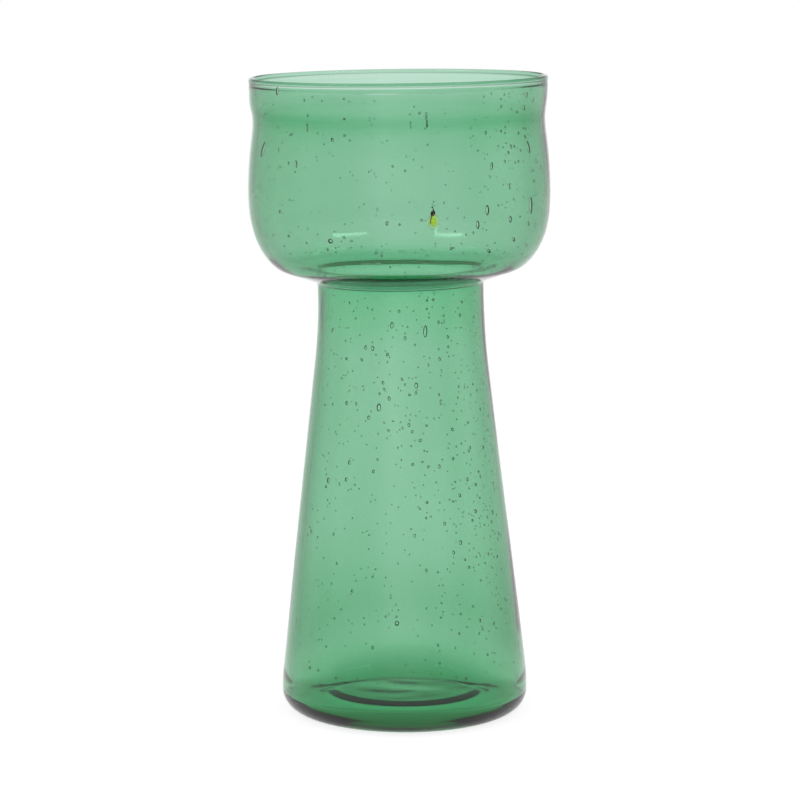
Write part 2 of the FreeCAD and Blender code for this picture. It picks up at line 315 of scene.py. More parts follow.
@dataclass
class VaseOutline:
    """The vase cut through its axis, from the same sizes as the CAD source but for a thicker rim wall.

    Angles are in degrees. Pairs are for the outside and the inside. A crowd has its half-width and
    its extra density of points. The punt's steps are those of its flat, its slope and the ring, and
    the floor's are those outside and inside the brow."""

    total_height: float = 200.0
    lean: float = 0.65
    foot_radius: float = 38.9
    heel_radius: float = 6.4
    inner_heel_radius: float = 9.0
    floor_edge: float = 3.0
    floor_rise: float = 2.6
    brow_rise_share: float = 0.9
    brow_inset: float = 7.0
    resting_ring_width: float = 4.1
    punt_step: float = 1.5
    punt_slope_width: float = 5.9
    body_wall: float = 1.9
    easing_radius: float = 70.0
    sweep_radius: float = 232.0
    neck_radius: float = 26.0
    crease_share: float = 0.6755
    crease_radius: float = 2.0
    cup_wall: float = 1.7
    belly_radius: float = 47.05
    underside_slope: float = 18.5
    underside_inset: float = 10.55
    cup_insets: tuple = (6.45, 2.15, 0.0, 1.05, 1.6)
    cup_rise_shares: tuple = (0.1217, 0.2327, 0.453, 0.6918, 0.8105)
    rim_inset: float = 0.65
    bead_thickness: float = 1.7
    rim_wall: float = 1.5
    stain_height: float = 159.1
    thin_rim: float = 197.3
    easing_steps: int = 6
    cone_steps: int = 42
    sweep_steps: int = 16
    bend_steps: tuple = (8, 12)
    underside_steps: int = 7
    side_steps: tuple = (54, 50)
    stain_crowd: tuple = (3.2, 2.6)
    rim_crowd: tuple = (1.0, 5.0)
    round_steps: int = 18
    punt_steps: tuple = (15, 10, 3)
    floor_steps: tuple = (14, 20)

    def __post_init__(self) -> None:
        """Works out the sizes that follow from others."""
        self.crease = self.total_height * self.crease_share
        self.cup_height = self.total_height - self.crease
        self.heel_height = self.floor_edge + self.inner_heel_radius + self.body_wall
        self.bead_radius = self.bead_thickness / 2
        self.bead_middle = self.belly_radius - self.rim_inset - self.bead_radius
        self.bead_opening = math.degrees(math.acos(self.rim_wall / self.bead_thickness))
        reach = 1 + math.sin(math.radians(self.bead_opening))
        self.bead_foot = self.total_height - self.bead_radius * reach
        arcs = self.easing_radius + self.sweep_radius
        drop = self.foot_radius - self.neck_radius
        rise = self.crease - self.heel_radius
        turned = math.atan2(rise, arcs - drop) - math.acos(arcs / math.hypot(arcs - drop, rise))
        self.cone = math.degrees(turned)

    def chamber_side(self, inset: float, start: float) -> list[np.ndarray]:
        """Easing arc, straight cone and sweep arc up to the crease.

        Args:
            inset: how far inwards of the outside the line runs.
            start: angle in degrees at which the easing arc starts.

        Returns:
            The three runs of points.
        """
        low = (self.foot_radius - self.easing_radius, self.heel_radius)
        high = (self.neck_radius + self.sweep_radius, self.crease)
        easing = arc_points(low, self.easing_radius - inset, start, self.cone, self.easing_steps)
        sweep = arc_points(high, self.sweep_radius + inset, 180 + self.cone, 180, self.sweep_steps)
        return [easing, line_points(easing[-1], sweep[0], self.cone_steps), sweep]

    def crease_and_underside(self, inset: float, bend_count: int) -> list[np.ndarray]:
        """The bend at the crease and the straight underside of the cup.

        Args:
            inset: how far inwards of the outside the line runs.
            bend_count: how many steps the bend has.

        Returns:
            The two runs of points.
        """
        slope = math.radians(self.underside_slope)
        centre = (self.neck_radius + self.crease_radius, self.crease)
        bend = arc_points(centre, self.crease_radius + inset, 180, 90 + self.underside_slope, bend_count)
        across = self.belly_radius - self.underside_inset - self.neck_radius
        across -= self.crease_radius * (1 - math.sin(slope))
        end = bend[-1] + np.array([1.0, math.tan(slope)]) * across
        return [bend, line_points(bend[-1], end, self.underside_steps)]

    def cup_side(self, start: np.ndarray, inside: bool) -> np.ndarray:
        """The cup's side, as one smooth cubic curve through its stations up to the foot of the bead.

        Args:
            start: where the underside ends.
            inside: whether the stations are moved in by the wall.

        Returns:
            Points that lie closer together at the stain outside and at the rim inside.
        """
        slope = math.radians(self.underside_slope)
        shares = np.array(self.cup_rise_shares)
        outside = np.stack(
            [self.belly_radius - np.array(self.cup_insets), self.crease + self.cup_height * shares], axis=1
        )
        half_wall = -self.rim_wall / 2 if inside else self.rim_wall / 2
        end = np.array([self.bead_middle + half_wall, self.bead_foot])
        stations = np.vstack([start, outside, end])
        if inside:
            along = unit_rows(stations[2:] - stations[:-2])
            wall = np.full(len(outside), self.cup_wall)
            wall[0] = (self.body_wall + self.cup_wall) / 2
            stations[1:-1] += np.stack([-along[:, 1], along[:, 0]], axis=1) * wall[:, None]
        steps = np.concatenate([[0.0], np.cumsum(np.linalg.norm(np.diff(stations, axis=0), axis=1))])
        leaving = np.array([math.cos(slope), math.sin(slope)])
        slopes = spline_slopes(steps, stations, leaving, np.array([0.0, 1.0]))
        stain = np.interp(self.stain_height, stations[:, 1], steps)
        edge = np.interp(self.thin_rim, stations[:, 1], steps)
        crowds = [(edge, *self.rim_crowd)] if inside else [(stain, *self.stain_crowd)]
        count = self.side_steps[inside]
        return spline_at(steps, stations, slopes, crowded_steps(steps[-1], count, crowds))

    def outer(self) -> np.ndarray:
        """The outside, from the resting ring up to the foot of the bead.

        Returns:
            Radius and height of each point.
        """
        centre = (self.foot_radius - self.heel_radius, self.heel_radius)
        heel = arc_points(centre, self.heel_radius, -90, 0, self.round_steps)
        rising = [heel] + self.chamber_side(0.0, 0.0) + self.crease_and_underside(0.0, self.bend_steps[0])
        return chained(rising + [self.cup_side(rising[-1][-1], False)])

    def inner(self) -> np.ndarray:
        """The inside, from the floor up to the foot of the bead.

        Returns:
            Radius and height of each point.
        """
        height = self.floor_edge + self.inner_heel_radius
        reach = self.easing_radius - self.body_wall - self.inner_heel_radius
        meeting = math.asin((height - self.heel_radius) / reach)
        centre = (self.foot_radius - self.easing_radius + reach * math.cos(meeting), height)
        heel = arc_points(centre, self.inner_heel_radius, -90, math.degrees(meeting), self.round_steps)
        rising = [heel] + self.chamber_side(self.body_wall, math.degrees(meeting))
        rising += self.crease_and_underside(self.body_wall, self.bend_steps[1])
        return chained(rising + [self.cup_side(rising[-1][-1], True)])

    def bead(self) -> np.ndarray:
        """The rounded rim, from its outer foot over the top to its inner foot.

        Returns:
            Radius and height of each point.
        """
        centre = (self.bead_middle, self.total_height - self.bead_radius)
        opening = self.bead_opening
        return arc_points(centre, self.bead_radius, -opening, 180 + opening, self.round_steps)

    @staticmethod
    def eased(start: tuple[float, float], end: tuple[float, float], count: int) -> np.ndarray:
        """A smooth cubic curve between two points that leaves both of them level.

        Args:
            start: the first point.
            end: the last point.
            count: how many points.

        Returns:
            The points, both ends with them.
        """
        stations = np.array([start, end])
        steps = np.array([0.0, float(np.linalg.norm(stations[1] - stations[0]))])
        level = np.array([math.copysign(1.0, stations[1, 0] - stations[0, 0]), 0.0])
        slopes = spline_slopes(steps, stations, level, level)
        return spline_at(steps, stations, slopes, np.linspace(0.0, steps[-1], count))

    def under(self) -> np.ndarray:
        """The underside, from the middle of the punt out to the resting ring's outer edge.

        Returns:
            Radius and height of each point.
        """
        flat_steps, slope_count, ring_steps = self.punt_steps
        ring_outer = self.foot_radius - self.heel_radius
        ring_inner = ring_outer - self.resting_ring_width
        punt = ring_inner - self.punt_slope_width
        flat = line_points((0.0, self.punt_step), (punt, self.punt_step), flat_steps)
        slope = self.eased((punt, self.punt_step), (ring_inner, 0.0), slope_count)
        return chained([flat, slope, line_points((ring_inner, 0.0), (ring_outer, 0.0), ring_steps)])

    def floor(self, start: np.ndarray) -> np.ndarray:
        """The inside floor, as a smooth curve from the moat at its edge over the brow to the middle.

        Args:
            start: the lowest place of the inner heel.

        Returns:
            Radius and height of each point.
        """
        outer_count, inner_count = self.floor_steps
        brow = (start[0] - self.brow_inset, self.floor_edge + self.floor_rise * self.brow_rise_share)
        middle = (0.0, self.floor_edge + self.floor_rise)
        return chained([self.eased(start, brow, outer_count), self.eased(brow, middle, inner_count)])


@dataclass(frozen=True)
class HandShaping:
    """What the blower's hand left in the glass: small departures from a true round.

    The stations give how far the left and the right side stand out from the true outline, in
    millimetres, at a height. The thickness waves and the thick band lie on the inside. A slow wave
    has its size, its number round the vase, the rise of one radian and its start; the panels have
    size, number, sway and rise; a ripple has size, number and start. A fade has the place where a
    ramp starts and its width, which is negative for a ramp that rises downwards or inwards."""

    stations: tuple = (
        (0.0, 0.05, -0.10), (14.0, 0.0, -0.08), (40.0, 0.06, -0.05), (70.0, 0.08, -0.14),
        (95.0, -0.02, -0.12), (110.0, -0.10, -0.08), (130.0, -0.20, 0.0), (138.0, 0.0, 0.0),
        (150.0, 0.02, 0.10), (160.0, -0.04, -0.10), (172.0, -0.06, -0.08), (180.0, -0.12, 0.0),
        (185.6, -0.25, -0.08), (188.6, -0.10, -0.02), (191.6, 0.28, 0.14), (194.6, 0.10, 0.12),
        (200.0, -0.10, -0.06),
    )
    oval: float = 0.084
    oval_rise: float = 31.0
    oval_start: float = 0.7
    wave: float = 0.07
    slow_waves: tuple = ((0.6, 3, 19.0, 1.1), (0.5, 5, -12.0, 2.0))
    panels: tuple = (0.45, 13, 0.6, 9.0)
    band: float = 0.25
    band_uneven: float = 0.34
    band_start: float = 2.5
    band_side_loss: float = 0.85
    band_sway: float = 0.8
    band_height: float = 188.4
    band_width: float = 3.0
    neck: float = 0.9
    neck_height: float = 140.6
    neck_inside: float = 26.8
    neck_width: float = 2.6
    low: float = 0.65
    low_fades: tuple = ((55.0, -35.0), (9.0, 8.0))
    ridge: float = 0.25
    ridge_height: float = 197.2
    ridge_width: float = 0.4
    rim_fade: tuple = (0.1, -0.8)
    cup_extra: float = 0.2
    cup_fade: tuple = (146.0, 8.0)
    swirl: float = 0.07
    swirl_reach: float = 27.0
    swirl_bend: tuple = (5.0, 11.0, 0.8, 0.12)
    swirl_lines: tuple = (2.6, 9.5, 0.4)
    swirl_crossing: tuple = (0.8, 6.1, 4.3, 1.9)
    swirl_spiral: tuple = (0.9, 3.3, 1.5)
    side_inset: float = 3.0
    side_bell: tuple = (2.0, 3.0)
    side_fade: tuple = (29.0, 5.0)
    rough_heel: float = 0.18
    rough_least: float = 0.08
    rough_azimuth: float = 3.93
    rough_spread: float = 0.75
    ripples: tuple = ((1.0, 31, 0.0), (0.7, 47, 1.3), (0.8, 7, 0.4))

    def radius_change(self, azimuth: np.ndarray, height: np.ndarray) -> np.ndarray:
        """How much the wall's radius differs from true, inside and outside alike.

        Each side's stations weigh by the square of the sine of the azimuth, and an oval wave that
        turns with the height fills in the front and the back.

        Args:
            azimuth: in radians.
            height: in millimetres.

        Returns:
            The change of radius in millimetres.
        """
        side = np.sin(azimuth)
        left, right = np.moveaxis(stations_at(np.array(self.stations), height), -1, 0)
        sides = ramp(-side, 0.0, 1.0) ** 2 * left + ramp(side, 0.0, 1.0) ** 2 * right
        front = np.cos(azimuth) ** 2
        return sides + front * self.oval * np.sin(2 * azimuth + height / self.oval_rise + self.oval_start)

    def thickness_change(self, azimuth: np.ndarray, radius: np.ndarray, height: np.ndarray) -> np.ndarray:
        """How much the wall is thicker than true.

        It is a sum of slow sine waves, upright panels, a bell-shaped band at the pinch that is
        weaker at the sides, a ring of gathered glass at the neck, and more glass in the cup and low
        in the chamber. All of it fades out under the rim, where a thin ridge runs.

        Args:
            azimuth: in radians.
            radius: in millimetres.
            height: in millimetres.

        Returns:
            The extra thickness in millimetres.
        """
        waves = sum(
            size * np.sin(number * azimuth + height / rise + start)
            for size, number, rise, start in self.slow_waves
        )
        size, number, sway, rise = self.panels
        panels = size * np.sin(number * azimuth + sway * np.sin(height / rise))
        strong = 1 - self.band_uneven + self.band_uneven * np.sin(3 * azimuth + self.band_start)
        strong = strong * (1 - self.band_side_loss * np.sin(azimuth) ** 6)
        band = bell(height - self.band_sway * np.sin(2 * azimuth), self.band_height, self.band_width)
        neck = bell(height, self.neck_height, self.neck_width)
        neck = neck * bell(radius, self.neck_inside, self.neck_width)
        cup = ramp(height, *self.cup_fade) * self.cup_extra
        top_fade, foot_fade = self.low_fades
        low = ramp(height, *top_fade) * ramp(height, *foot_fade) * self.low
        ridge = self.ridge * bell(height, self.ridge_height, self.ridge_width)
        start, width = self.rim_fade
        below_rim = ramp(height, self.ridge_height + start, width)
        even = self.wave * (waves + panels) + self.band * strong * band + self.neck * neck + cup + low
        return even * below_rim + ridge

    def floor_change(self, x: np.ndarray, y: np.ndarray) -> np.ndarray:
        """Rise of the floor's surface, from swirls that the turning iron left.

        The swirls are products and sums of sine waves along lines that bend as a sine, with a spiral
        of the radius and the azimuth, and they die away towards the edge.

        Args:
            x: place to the right in millimetres.
            y: place to the back in millimetres.

        Returns:
            The rise in millimetres.
        """
        radius = np.hypot(x, y)
        size, length, start, slant = self.swirl_bend
        bent = y + size * np.sin(x / length + start) + slant * x
        length, across, start = self.swirl_lines
        lines = np.sin(bent / length) * np.cos(x / across + start)
        size, across, length, start = self.swirl_crossing
        crossing = size * np.sin(x / across + y / length + start)
        size, length, turns = self.swirl_spiral
        spiral = size * np.sin(radius / length + turns * np.arctan2(y, x))
        fade = np.exp(-((radius / self.swirl_reach) ** 4))
        return self.swirl * (lines + crossing + spiral) * fade

    def side_cut(self, azimuth: np.ndarray, radius: np.ndarray, height: np.ndarray) -> np.ndarray:
        """How far the inner heel stands further out at the left and the right than in front."""
        corner = bell(height, *self.side_bell) * ramp(radius, *self.side_fade)
        return self.side_inset * np.sin(azimuth) ** 2 * corner

    def heel_change(self, azimuth: np.ndarray) -> np.ndarray:
        """How far the inner heel's radius wanders, most at the back on the left.

        It is a sum of short sine ripples under a bell curve of the azimuth.

        Args:
            azimuth: in radians.

        Returns:
            The change of radius in millimetres.
        """
        near = bell(np.mod(azimuth, 2 * np.pi), self.rough_azimuth, self.rough_spread)
        where = self.rough_least + (1 - self.rough_least) * near
        ripples = sum(size * np.sin(number * azimuth + start) for size, number, start in self.ripples)
        return self.rough_heel * where * ripples


@dataclass
class WallPlaces:
    """Places in the glass wall, found from an azimuth, a height and a depth below the outside."""

    outline: VaseOutline
    hand: HandShaping
    least_rise: float = 1e-6
    lean_fade: float = 4.0

    def __post_init__(self) -> None:
        """Keeps the outside's rising points and the directions along them."""
        rising = self.outline.outer()
        keep = np.concatenate([[True], np.diff(rising[:, 1]) > self.least_rise])
        self.line = rising[keep]
        self.along = unit_rows(np.gradient(self.line, axis=0))

    def leaned(self, points: np.ndarray) -> np.ndarray:
        """Leans points to the left about the top of the heel, and leaves the foot level.

        Above the heel it is a turn about the Y axis through the heel's top; within a few
        millimetres of it, the turn fades out.

        Args:
            points: places in the upright vase.

        Returns:
            The same places in the leaning vase.
        """
        pivot = self.outline.heel_height
        x, up = points[..., 0], points[..., 2] - pivot
        share = ramp(up, -self.lean_fade, 2 * self.lean_fade)
        turn = math.radians(self.outline.lean) * share * share * (3 - 2 * share)
        moved = points.copy()
        moved[..., 0] = x * np.cos(turn) - up * np.sin(turn)
        moved[..., 2] = pivot + x * np.sin(turn) + up * np.cos(turn)
        return moved

    def frames(self, azimuth: np.ndarray, height: np.ndarray) -> tuple:
        """Outside point and the directions outwards, sideways and up along the wall, before the lean.

        Args:
            azimuth: in radians.
            height: in millimetres.

        Returns:
            Four arrays of points or directions.
        """
        radius = np.interp(height, self.line[:, 1], self.line[:, 0])
        radius = radius + self.hand.radius_change(azimuth, height)
        lean_out = np.interp(height, self.line[:, 1], self.along[:, 0])
        rise = np.interp(height, self.line[:, 1], self.along[:, 1])
        nought = np.zeros_like(radius)
        point = round_the_axis(radius, azimuth, height)
        out = round_the_axis(rise, azimuth, -lean_out)
        up = round_the_axis(lean_out, azimuth, rise)
        side = np.stack([np.cos(azimuth), np.sin(azimuth), nought], axis=-1)
        return point, out, side, up


@dataclass
class StainPlace:
    """Where the stained glass is in the cup's front wall, and how deep it reaches."""

    azimuth: float = 12.35
    height: float = 159.1
    depth: float = 0.62
    width: float = 0.72
    length: float = 1.08
    low_share: float = 0.86
    gap: float = 0.05

    def depth_at(self, sideways: np.ndarray, upwards: np.ndarray) -> np.ndarray:
        """Depth of the stained glass: a bell curve that is wider than it is high."""
        high = np.where(upwards < 0, self.length * self.low_share, self.length)
        return self.depth * np.exp(-((sideways / self.width) ** 2 + (upwards / high) ** 2) / 2)


class SeedHabit(Enum):
    """How a bubble lies in the wall: its thickness, as a share of its width."""

    ROUND = 0.85
    DRAWN = 0.8


@dataclass
class SeedField:
    """The air seeds in the glass: the large ones that the eye picks out, and a scatter of small ones.

    Each large row has azimuth in degrees, height, length, width, and tilt in degrees. A spread has
    middle and deviation, a width has least, range and power, and a stretch has least and range."""

    places: WallPlaces
    large: tuple = (
        (-52.3, 197.2, 2.6, 0.95, 10), (-64.5, 179.2, 5.2, 1.45, 24), (58.8, 179.3, 3.9, 1.20, -14),
        (57.0, 182.4, 1.3, 0.70, 20), (36.8, 174.7, 2.4, 0.80, 12), (40.0, 175.3, 2.8, 1.00, 8),
        (34.3, 161.7, 3.2, 1.05, -4), (30.3, 157.4, 2.6, 0.95, -8), (46.0, 158.2, 2.2, 0.95, -8),
        (58.8, 161.6, 5.2, 1.50, -4), (57.8, 156.1, 1.5, 0.75, -10), (49.7, 151.7, 1.7, 0.80, -42),
        (60.3, 149.2, 1.4, 0.60, -48), (37.3, 148.9, 2.0, 0.75, -50), (-27.2, 153.0, 1.5, 1.35, 0),
        (-63.7, 153.0, 2.6, 0.35, 24), (57.6, 195.0, 1.8, 0.75, 6), (62.9, 193.1, 1.5, 0.70, 0),
        (56.5, 191.2, 1.8, 0.85, -18), (51.8, 190.1, 0.9, 0.80, 0), (52.8, 183.7, 1.1, 0.75, -20),
        (47.5, 180.1, 1.3, 0.65, -15), (45.7, 178.3, 1.0, 0.70, 0), (53.1, 178.6, 0.9, 0.6, 10),
        (43.5, 175.8, 1.1, 0.6, -10), (51.2, 175.4, 0.9, 0.7, 0), (-1.1, 129.9, 1.0, 0.70, 0),
        (-6.1, 125.7, 2.1, 0.85, 4), (2.8, 121.7, 1.3, 0.70, -5), (16.9, 123.6, 3.8, 1.05, 3),
        (-24.7, 118.7, 1.3, 0.70, 0), (26.5, 114.8, 1.2, 0.65, 0), (9.6, 107.3, 1.9, 0.90, 0),
        (9.2, 105.0, 1.1, 0.60, 0), (-14.6, 100.7, 2.5, 1.10, 4), (-21.1, 97.5, 1.3, 0.75, 0),
        (-33.0, 83.4, 1.4, 0.70, 0), (22.2, 82.3, 1.3, 0.70, 0), (-48.3, 77.0, 1.9, 0.85, -5),
        (57.6, 86.0, 1.2, 0.65, 5), (40.7, 77.3, 1.3, 0.75, 0), (60.1, 65.5, 1.5, 0.80, 5),
        (23.4, 64.8, 1.3, 0.70, 0), (6.2, 61.7, 1.2, 0.65, 0), (32.6, 58.5, 1.5, 0.80, 0),
        (27.8, 55.7, 1.3, 0.70, 0), (-60.6, 60.1, 1.3, 0.70, 0), (63.8, 37.4, 1.2, 0.7, 0),
        (41.0, 33.7, 1.3, 0.70, 0), (50.6, 31.7, 1.2, 0.65, 0), (-3.6, 35.1, 1.5, 1.15, 0),
        (-15.5, 27.5, 1.1, 0.70, 0), (-172.0, 27.0, 1.9, 0.55, 3), (128.0, 163.0, 2.2, 0.9, -6),
        (-131.0, 171.0, 2.6, 0.9, 8), (152.0, 94.0, 2.0, 0.8, 0), (-158.0, 112.0, 1.7, 0.8, 4),
        (97.0, 152.0, 1.9, 0.9, -12), (-97.0, 166.0, 1.6, 0.8, 6), (106.0, 70.0, 1.8, 0.8, 2),
    )
    girth: float = 1.25
    thickest: float = 0.55
    least_gap: float = 0.15
    scattered: int = 1250
    heights: tuple = (16, 196)
    right_share: float = 0.28
    right_spread: tuple = (40, 30)
    small_width: tuple = (0.37, 0.45, 5)
    small_stretch: tuple = (1.05, 0.8)
    small_tilt: float = 12
    neck_count: int = 120
    neck_spread: tuple = (139.9, 1.3)
    neck_width: tuple = (0.4, 0.45, 2)
    neck_stretch: tuple = (1.1, 0.6)
    neck_tilt: float = 80
    cup_start: float = 6.0
    rim_start: float = 0.8
    small_depths: tuple = (0.3, 0.7)
    large_depth: float = 0.5
    large_detail: tuple = (7, 12)
    small_detail: tuple = (3, 6)
    seed: int = 11

    def scatter(self) -> np.ndarray:
        """Rows for the small seeds, as in the large table: more on the right, and most at the neck.

        Returns:
            One row for each seed, those of the neck last.
        """
        chance = np.random.default_rng(self.seed)
        count = self.scattered
        azimuth = chance.uniform(-180, 180, count)
        right = chance.random(count) < self.right_share
        azimuth = np.where(right, chance.normal(*self.right_spread, count), azimuth)
        height = chance.uniform(*self.heights, count)
        least, extra, power = self.small_width
        width = least + extra * chance.random(count) ** power
        least, extra = self.small_stretch
        length = width * (least + extra * chance.random(count))
        tilt = chance.normal(0, self.small_tilt, count)
        body = np.stack([azimuth, height, length, width, tilt], axis=1)
        count = self.neck_count
        least, extra, power = self.neck_width
        width = least + extra * chance.random(count) ** power
        azimuth = chance.uniform(-180, 180, count)
        height = chance.normal(*self.neck_spread, count)
        least, extra = self.neck_stretch
        length = width * (least + extra * chance.random(count))
        tilt = chance.uniform(-self.neck_tilt, self.neck_tilt, count)
        return np.concatenate([body, np.stack([azimuth, height, length, width, tilt], axis=1)])

    def middles(self, rows: np.ndarray, depth: np.ndarray) -> tuple:
        """Middles and directions of the seeds, each at a share of the wall's depth.

        Args:
            rows: azimuth, height and more of each seed.
            depth: each middle's depth, as a share of the wall.

        Returns:
            The middles, and the directions outwards, sideways and up.
        """
        azimuth, height = np.radians(rows[:, 0]), rows[:, 1]
        point, out, side, up = self.places.frames(azimuth, height)
        outline = self.places.outline
        wall = np.where(height > outline.crease + self.cup_start, outline.cup_wall, outline.body_wall)
        wall = np.where(height > outline.thin_rim - self.rim_start, outline.rim_wall, wall)
        return point - out * (wall * depth)[:, None], out, side, up

    def spaced(self, rows: np.ndarray, depth: np.ndarray) -> np.ndarray:
        """Which rows to keep so that no seed touches an earlier one, from the distances of all pairs.

        Args:
            rows: azimuth, height, length and more of each seed.
            depth: each middle's depth, as a share of the wall.

        Returns:
            One truth value for each row.
        """
        middle = self.middles(rows, depth)[0]
        reach = rows[:, 2] / 2
        apart = np.linalg.norm(middle[:, None] - middle[None], axis=-1)
        touching = np.triu(apart < reach[:, None] + reach[None] + self.least_gap, 1)
        return ~touching.any(axis=0)

    def eggs(self, rows: np.ndarray, depth: np.ndarray, habit: SeedHabit, detail: tuple) -> Shell:
        """The seeds as egg-shaped shells, tilted within the wall.

        Args:
            rows: azimuth, height, length, width and tilt of each seed.
            depth: each middle's depth, as a share of the wall.
            habit: how flat the seeds are.
            detail: rings between the poles, and points round a ring.

        Returns:
            The shells, with faces that look out of the seeds.
        """
        middle, out, side, up = self.middles(rows, depth)
        long, wide = tilted(up, side, rows[:, 4])
        half_long, half_wide = rows[:, 2, None] / 2, rows[:, 3, None] * self.girth / 2
        thick = np.minimum(half_wide * habit.value, self.thickest)
        return Shell.eggs(middle, (long * half_long, wide * half_wide, out * thick), *ball_angles(*detail))

    def hollows(self) -> Shell:
        """All the seeds as hollows in the glass.

        Returns:
            The shells, with faces that look into the seeds.
        """
        large, small = np.array(self.large, float), self.scatter()
        rows = np.concatenate([large, small])
        chance = np.random.default_rng(self.seed + 1)
        small_depth = chance.uniform(*self.small_depths, len(small))
        depth = np.concatenate([np.full(len(large), self.large_depth), small_depth])
        keep = self.spaced(rows, depth)
        big = np.arange(len(rows)) < len(large)
        shells = self.eggs(rows[keep & big], depth[keep & big], SeedHabit.DRAWN, self.large_detail)
        little = self.eggs(rows[keep & ~big], depth[keep & ~big], SeedHabit.ROUND, self.small_detail)
        log.info("seeds: %d large, %d small", (keep & big).sum(), (keep & ~big).sum())
        return shells.with_more(little).inside_out()


@dataclass
class BlownVessel:
    """The vase's glass as one closed skin, outside and inside, with its seeds as hollows."""

    places: WallPlaces
    stain: StainPlace
    columns: int = 236
    stain_crowd: tuple = (3.4, 3.0)
    stain_span: float = 0.3
    foot_fade: float = 6.0
    wall_fade: float = 12.0
    heel_width: float = 3.0
    wander_fade: tuple = (14.0, 12.0)
    punt_fade: tuple = (24.0, -8.0)
    punt_share: float = 0.4
    punt_shift: tuple = (7.0, 4.0)
    ring_rows: int = 4

    def azimuths(self) -> np.ndarray:
        """Azimuths of the columns in radians, closer together at the stain."""
        steps = crowded_steps(360.0, self.columns, [(180.0 + self.stain.azimuth, *self.stain_crowd)])
        return np.radians(steps[:-1] - 180.0)

    def skin(self) -> Shell:
        """The closed skin: the outline turned about the axis, then moved as the hand left it.

        The outside is pressed in by the stain's depth, the inside moves in by the change of
        thickness, and the floor rises and falls with its swirls.

        Returns:
            The skin, upright.
        """
        outline, hand = self.places.outline, self.places.hand
        under, outer, bead, inner = outline.under(), outline.outer(), outline.bead(), outline.inner()
        floor = outline.floor(inner[0])
        line = chained([under, outer, bead, inner[::-1], floor])[1:-1]
        shared, middle_pole = 2, 1
        first_inner = len(under) + len(outer) + len(bead) - shared - middle_pole
        row = np.arange(len(line))
        along = unit_rows(np.gradient(inner, axis=0))
        inward = np.zeros_like(line)
        inward[first_inner : first_inner + len(inner)] = np.stack([-along[:, 1], along[:, 0]], axis=1)[::-1]
        is_inner = (row >= first_inner) & (row < first_inner + len(inner))
        is_floor = row >= first_inner + len(inner) - 1
        azimuth = self.azimuths()[None, :]
        radius = line[:, :1] + np.zeros_like(azimuth)
        height = line[:, 1:] + np.zeros_like(azimuth)
        share = ramp(radius, 0.0, outline.neck_radius)
        moved = hand.radius_change(azimuth, height) * share * ramp(height, 0.0, self.foot_fade)
        low = ramp(height, outline.heel_height, self.wall_fade)
        thicker = hand.thickness_change(azimuth, radius, height) * low * is_inner[:, None]
        thin_sides = hand.side_cut(azimuth, radius, height - outline.floor_edge) * is_inner[:, None]
        heel = bell(height, outline.floor_edge, self.heel_width) * (is_inner | is_floor)[:, None]
        wander = hand.heel_change(azimuth) * heel * ramp(radius, *self.wander_fade)
        moved = moved + thicker * inward[:, :1] + wander + thin_sides
        points = round_the_axis(radius + moved, azimuth, height + thicker * inward[:, 1:])
        x, y = points[..., 0], points[..., 1]
        points[..., 2] += hand.floor_change(x, y) * is_floor[:, None]
        under_share = ramp(radius, *self.punt_fade) * (row < len(under) - self.ring_rows)[:, None]
        right, back = self.punt_shift
        points[..., 2] += self.punt_share * hand.floor_change(-x - right, y + back) * under_share
        points = self.pressed(points, azimuth, height, row, len(under), len(outer))
        first = np.array([[0.0, 0.0, outline.punt_step]])
        last = np.array([[0.0, 0.0, outline.floor_edge + outline.floor_rise]])
        last[0, 2] += float(hand.floor_change(0.0, 0.0))
        first[0, 2] += self.punt_share * float(hand.floor_change(-right, back))
        return Shell.from_rings(points[None], first, last)

    def pressed(
        self, points: np.ndarray, azimuth: np.ndarray, height: np.ndarray,
        row: np.ndarray, before: int, count: int,
    ) -> np.ndarray:
        """Presses the outside in where the stained glass lies, square to the wall.

        Args:
            points: the skin's points, by row and column.
            azimuth: of each column, in radians.
            height: of each point before it was moved.
            row: number of each row.
            before: how many rows come before the outside.
            count: how many rows the outside has.

        Returns:
            The points with the hollow for the stained glass.
        """
        outside = ((row >= before) & (row < before + count))[:, None]
        off = azimuth - math.radians(self.stain.azimuth)
        sideways = off * self.places.outline.belly_radius
        depth = self.stain.depth_at(sideways, height - self.stain.height) * outside
        depth = depth * (np.abs(off) < self.stain_span)
        out = self.places.frames(azimuth + np.zeros_like(height), height)[1]
        return points - out * depth[..., None]

    def build(self, material: bpy.types.Material) -> bpy.types.Object:
        """Makes the vessel and stands it in for all the glass nodes.

        Args:
            material: the green glass.

        Returns:
            The vessel.
        """
        shell = self.skin().with_more(SeedField(self.places).hollows())
        shell.points = self.places.leaned(shell.points)
        vessel = shell.as_object("blown_vessel", material)
        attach(vessel, "root")
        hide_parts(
            "lip", "collar", "bulb_cup", "cup_floor",
            "neck_ring", "water_chamber", "heel", "base_disc",
        )
        return vessel


